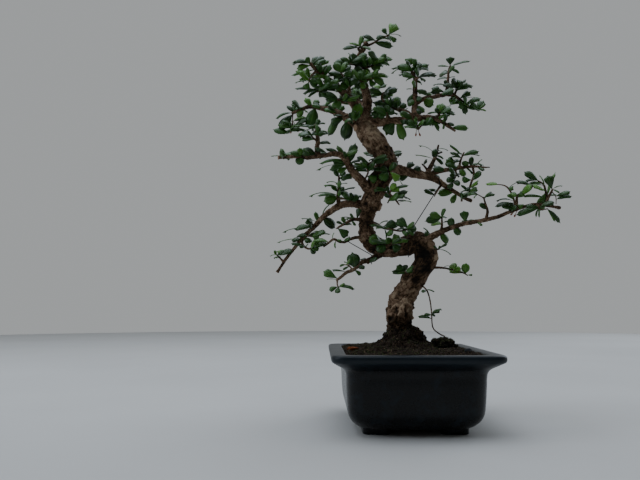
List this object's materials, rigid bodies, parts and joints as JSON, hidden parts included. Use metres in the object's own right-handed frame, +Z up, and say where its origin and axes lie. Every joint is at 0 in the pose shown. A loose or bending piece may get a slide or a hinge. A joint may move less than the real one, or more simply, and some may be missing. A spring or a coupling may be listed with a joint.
{
  "type": "potted bonsai tree",
  "caption": "Small-leaved bonsai tree with an S-shaped trunk and open leafy branches, standing in a rectangular dark pot with a flared rim, soil and low feet.",
  "frame": {"origin": "middle of the object's box, on the surface that the pot's feet stand on", "axes": "+Z up along the tree, +X to the right seen from the front, -Y towards the viewer in front of the pot's short end"},
  "size_m": [0.3092, 0.2106, 0.4359],
  "materials": {
    "pot": "blue-black, satin to glossy, moulded",
    "soil": "dark crumbly soil with olive moss and fibres",
    "bark": "rough brown-grey bark, pale where it is cut",
    "foliage": "glossy dark green leaves on brown twigs",
    "wire": "thin dark training wire",
    "chip": "orange-brown chip of bark",
    "stone": "small dark stone"
  },
  "bodies": {
    "root": {"bark_chip": "chip", "branch_back": "foliage", "branch_crown_back": "foliage", "branch_crown_far_right": "foliage", "branch_crown_left": "foliage", "branch_crown_right": "foliage", "branch_crown_upper_left": "foliage", "branch_crown_upright": "foliage", "branch_left_middle": "foliage", "branch_left_shelf": "foliage", "branch_low_left": "foliage", "branch_right_fork": "foliage", "branch_right_long": "foliage", "branch_right_middle": "foliage", "guy_wire_left": "wire", "guy_wire_right": "wire", "pot": "pot", "shoot_hanging": "foliage", "shoot_low_left": "foliage", "shoot_low_right": "foliage", "soil": "soil", "soil_clod": "soil", "spray_apex": "foliage", "spray_apex_left": "foliage", "spray_crown_front": "foliage", "spray_crown_inner": "foliage", "spray_crown_middle": "foliage", "spray_crown_right": "foliage", "spray_fork_up": "foliage", "spray_left_inner": "foliage", "spray_left_low": "foliage", "spray_left_upright": "foliage", "spray_left_wired": "foliage", "spray_right_end": "foliage", "spray_right_middle": "foliage", "spray_right_outer": "foliage", "spray_right_under": "foliage", "spray_shelf_upright": "foliage", "spray_shoulder": "foliage", "spray_trunk_front": "foliage", "spray_trunk_low": "foliage", "spray_trunk_middle": "foliage", "spray_trunk_upper": "foliage", "stone": "stone", "trunk": "bark"}
  },
  "joints": []
}
